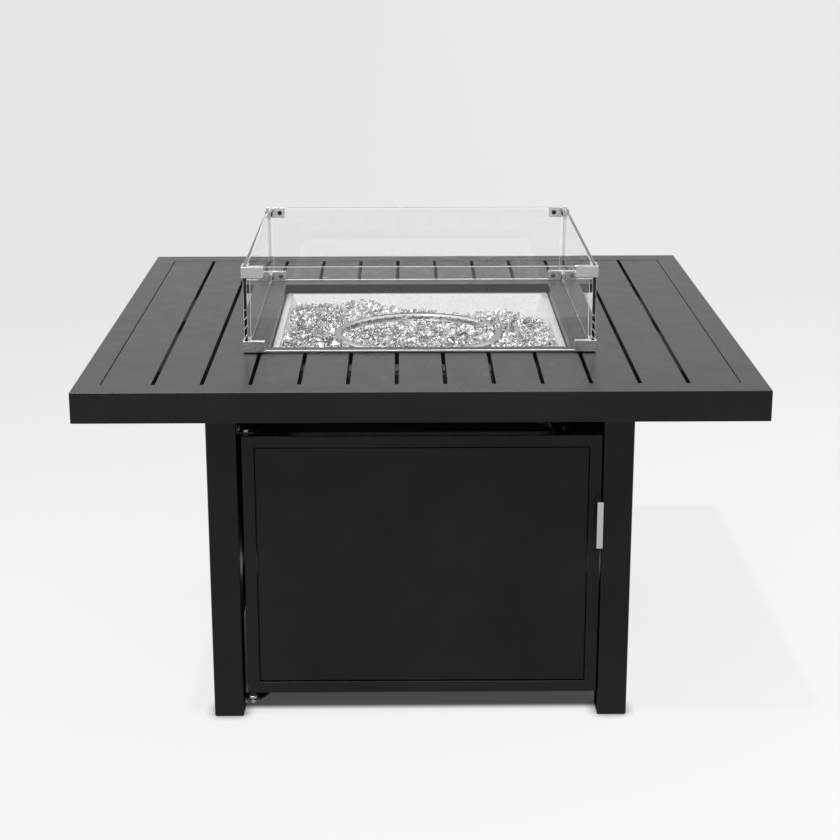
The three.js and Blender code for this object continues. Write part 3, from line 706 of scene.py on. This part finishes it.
def even_points(curve, spacing):
    """The curve again, with its points the same distance apart."""
    lengths = np.concatenate([[0], np.cumsum([(b - a).length for a, b in zip(curve, curve[1:])])])
    wanted = np.arange(0, lengths[-1], spacing)
    axes = [np.interp(wanted, lengths, [point[axis] for point in curve]) for axis in range(3)]
    return [Vector(point) for point in zip(*axes)]


def add_hose(finishes):
    """The corrugated hose and its two hexagon nuts, in place of the plain CAD tube."""
    curve = catmull_rom([Vector(point) for point in HOSE_ROUTE], CURVE_SAMPLES)
    path = even_points(curve, HOSE_PITCH / RINGS_PER_PITCH)
    bm = bmesh.new()
    rings = []
    side = Vector((0, 0, 1))
    for index, point in enumerate(path):
        ahead = path[min(index + 1, len(path) - 1)]
        behind = path[max(index - 1, 0)]
        along = (ahead - behind).normalized()
        side = (side - along * side.dot(along)).normalized()
        other = along.cross(side)
        wave = math.cos(2 * math.pi * index / RINGS_PER_PITCH)
        radius = HOSE_RADIUS - HOSE_DEPTH * (1 - wave) / 2
        ring = []
        for step in range(HOSE_SIDES):
            angle = 2 * math.pi * step / HOSE_SIDES
            spoke = side * math.cos(angle) + other * math.sin(angle)
            ring.append(bm.verts.new((point + spoke * radius) * MM))
        rings.append(ring)
    skin(bm, rings)
    mesh = bpy.data.meshes.new("gas_feed_hose_detail")
    bm.to_mesh(mesh)
    bm.free()
    mesh.polygons.foreach_set("use_smooth", [True] * len(mesh.polygons))
    hose = new_piece("gas_feed_hose_detail", mesh, "hose_steel", "base", finishes)
    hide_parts("gas_feed_hose")
    add_hose_nut("hose_nut_valve", *VALVE_NUT, finishes)
    add_hose_nut("hose_nut_burner", *BURNER_NUT, finishes)


def add_hose_nut(name, start, axis, half_width, length, finishes):
    """A hexagon nut with chamfered ends."""
    profile = [
        (half_width * 0.96, 0, 0),
        (half_width, NUT_CHAMFER, 6),
        (half_width, length * 0.7, 6),
        (half_width * 0.93, length * 0.78, 0),
        (half_width * 0.86, length, 0),
        (half_width * 0.7, length + 0.6, 0),
    ]
    mesh = turned_mesh(profile, 48)
    smooth_by_angle(mesh, 25)
    mesh.transform(Matrix.Translation(Vector(start) * MM) @ frame_along(axis))
    new_piece(name, mesh, "brass", "base", finishes)


# ---- Studio -------------------------------------------------------------------------------------
FLOOR_SIZE = 80
FLOOR_ALBEDO = 0.06
FLOOR_GLOW_NEAR = 0.842
FLOOR_GLOW_FAR = 0.682
GLOW_ENDS_ALONG = (-1.5, 3.6)  # where the floor's glow is near and far
FLOOR_GLOW_RIGHT = 0.022  # extra glow on the right, and as much less on the left
GLOW_ENDS_ACROSS = (-1.2, 1.2)
CONTACT_REACH = 0.02  # of the soft shadow where something stands on the floor
CONTACT_SAMPLES = 6
CABINET_HALF = 0.33  # to the middle of the cabinet's legs
# Painted shade under the cabinet: the floor's glow is turned down there by place, and is not a
# worked-out shadow.
SHADE_ENDS_ACROSS = (0.335, 0.35)  # the cabinet's shade ends under the side panels
SHADE_ENDS_ALONG = (0.302, 0.327)  # and a little inside the door
UNDER_GLOW = 0.075  # the share of the floor's glow that is left just inside the door, as painted shade
DEEP_SHADE_ENDS = (0.2, 0.265)
DEEP_SHARE = 0.2  # the share of that which is left further in, as deeper painted shade
SHADE_HEIGHT = 1 * MM
SUN_TRAVEL = (0.245, 0.355, -1)  # the way that the key light travels
SUN_STRENGTH = 2.7
SUN_ANGLE = 2.0  # degrees across, which softens the edge of the shadow
SOFTBOX_SIZE = 1.9
SOFTBOX_HEIGHT = 2.8
SOFTBOX_RADIANCE = 6.0
SOFTBOX_SPARES = ("burner_", "guard_glass", "clamp_", "screw_clamp_")
# Each range of the studio's light: a coordinate from and to, then the strength from and to.
LOW_LIGHT = (-0.35, 0.15, 0.42, 0.64)
HIGH_LIGHT = (0.2, 0.75, 0.0, 0.8)
LEFT_TO_RIGHT = (-0.5, 0.5, 1.08, 0.95)
FLANK_LIGHT = (0.5, 0.95, 1.0, 1.35)


def painted_cabinet_shade(tree, axes):
    """Painted shade: 1 on the open floor and near 0 under the cabinet, set by place where the cabinet
    shuts out the studio's light.
    """
    across = combine(tree, "ABSOLUTE", axes.outputs["X"])
    along = combine(tree, "ABSOLUTE", axes.outputs["Y"])
    beside = map_range(tree, across, *SHADE_ENDS_ACROSS, 0.0, 1.0)
    before = map_range(tree, along, *SHADE_ENDS_ALONG, UNDER_GLOW, 1.0)
    deep = map_range(tree, along, *DEEP_SHADE_ENDS, DEEP_SHARE, 1.0)
    return combine(tree, "MAXIMUM", beside, combine(tree, "MULTIPLY", before, deep))


def floor_glow(tree):
    """The strength of the floor's glow, which is painted light: brighter near and on the right, darker
    where it is covered, by the painted shade under the cabinet and by an occlusion node's shade where
    things stand.
    """
    place = tree.nodes.new("ShaderNodeTexCoord")
    axes = tree.nodes.new("ShaderNodeSeparateXYZ")
    tree.links.new(place.outputs["Object"], axes.inputs["Vector"])
    away = map_range(tree, axes.outputs["Y"], *GLOW_ENDS_ALONG, FLOOR_GLOW_NEAR, FLOOR_GLOW_FAR)
    change = (-FLOOR_GLOW_RIGHT, FLOOR_GLOW_RIGHT)
    side = map_range(tree, axes.outputs["X"], *GLOW_ENDS_ACROSS, *change, smooth=False)
    contact = tree.nodes.new("ShaderNodeAmbientOcclusion")
    contact.samples = CONTACT_SAMPLES
    contact.inputs["Distance"].default_value = CONTACT_REACH
    floor_shade = combine(tree, "MULTIPLY", contact.outputs["AO"], painted_cabinet_shade(tree, axes))
    return combine(tree, "MULTIPLY", combine(tree, "ADD", away, side), floor_shade)


def level_square(name, half, height, material):
    """A level square about the upright axis that is staging, and not part of the table."""
    mesh = bpy.data.meshes.new(name)
    corners = [(x * half, y * half, height) for x, y in ((-1, -1), (1, -1), (1, 1), (-1, 1))]
    mesh.from_pydata(corners, [], [(0, 1, 2, 3)])
    mesh.materials.append(material)
    square = bpy.data.objects.new(name, mesh)
    bpy.context.scene.collection.objects.link(square)
    return square


def make_floor():
    """A pale floor that runs out of sight. It glows a little, painted light that stands in for a lit
    studio sweep.
    """
    base_color = (*grey(FLOOR_ALBEDO), 1)
    material = principled("floor", Base_Color=base_color, Roughness=1.0, Specular_IOR_Level=0.0)
    tree = material.node_tree
    shader = tree.nodes["Principled BSDF"]
    shader.inputs["Emission Color"].default_value = (1, 1, 1, 1)
    tree.links.new(floor_glow(tree), shader.inputs["Emission Strength"])
    floor = level_square("floor", FLOOR_SIZE / 2, 0, material)
    # The metal takes its reflections from the studio round it, so the floor stays out of them.
    floor.visible_glossy = False
    return floor


def make_cabinet_shade():
    """A black square under the cabinet that only its reflections see, in place of the floor: painted
    shade in the cabinet's reflections.
    """
    material = principled("cabinet_shade", Base_Color=(0, 0, 0, 1), Specular_IOR_Level=0.0)
    shade = level_square("cabinet_shade", CABINET_HALF, SHADE_HEIGHT, material)
    shade.visible_camera = False
    shade.visible_diffuse = False
    shade.visible_transmission = False
    shade.visible_shadow = False


def make_key_light():
    """The key light that throws the table's shadow back and to the right."""
    data = bpy.data.lights.new("key", "SUN")
    data.energy = SUN_STRENGTH
    data.angle = math.radians(SUN_ANGLE)
    key = bpy.data.objects.new("key", data)
    key.rotation_euler = Vector(SUN_TRAVEL).to_track_quat("-Z", "Y").to_euler()
    bpy.context.scene.collection.objects.link(key)


def make_softbox(floor):
    """A bright square light overhead that draws the edges of the dark metal.

    It leaves out the floor, the pan and its ring, and the wind guard, which it would wash out.
    """
    data = bpy.data.lights.new("softbox", "AREA")
    data.size = SOFTBOX_SIZE
    data.energy = SOFTBOX_RADIANCE * math.pi * SOFTBOX_SIZE**2
    softbox = bpy.data.objects.new("softbox", data)
    softbox.location = (0, 0, SOFTBOX_HEIGHT)
    bpy.context.scene.collection.objects.link(softbox)
    spared = bpy.data.collections.new("spared_by_softbox")
    spared.objects.link(floor)
    for piece in bpy.data.objects:
        if piece.name.startswith(SOFTBOX_SPARES):
            spared.objects.link(piece)
    for member in spared.collection_objects:
        member.light_linking.link_state = "EXCLUDE"
    softbox.light_linking.receiver_collection = spared


def make_studio():
    """A white studio, brighter with height and at both sides, and a little brighter on the left."""
    world = bpy.data.worlds.new("studio")
    bpy.context.scene.world = world
    world.use_nodes = True
    tree = world.node_tree
    place = tree.nodes.new("ShaderNodeTexCoord")
    axes = tree.nodes.new("ShaderNodeSeparateXYZ")
    tree.links.new(place.outputs["Generated"], axes.inputs["Vector"])
    low = map_range(tree, axes.outputs["Z"], *LOW_LIGHT)
    high = map_range(tree, axes.outputs["Z"], *HIGH_LIGHT)
    side = map_range(tree, axes.outputs["X"], *LEFT_TO_RIGHT)
    flank = map_range(tree, combine(tree, "ABSOLUTE", axes.outputs["X"]), *FLANK_LIGHT)
    height = combine(tree, "ADD", low, high)
    strength = combine(tree, "MULTIPLY", combine(tree, "MULTIPLY", height, side), flank)
    tree.links.new(strength, tree.nodes["Background"].inputs["Strength"])
    tree.nodes["Background"].inputs["Color"].default_value = (1, 1, 1, 1)


def main():
    make_camera()
    finishes = make_materials()
    dress_nodes(finishes)
    add_clamp_screws(finishes)
    add_hinge_bolts(finishes)
    add_bracket_screws(finishes)
    add_fire_glass(finishes)
    add_port_shade_discs(finishes)
    add_hose(finishes)
    make_key_light()
    make_softbox(make_floor())
    make_cabinet_shade()
    make_studio()
    bpy.context.scene.view_settings.view_transform = "Standard"


main()
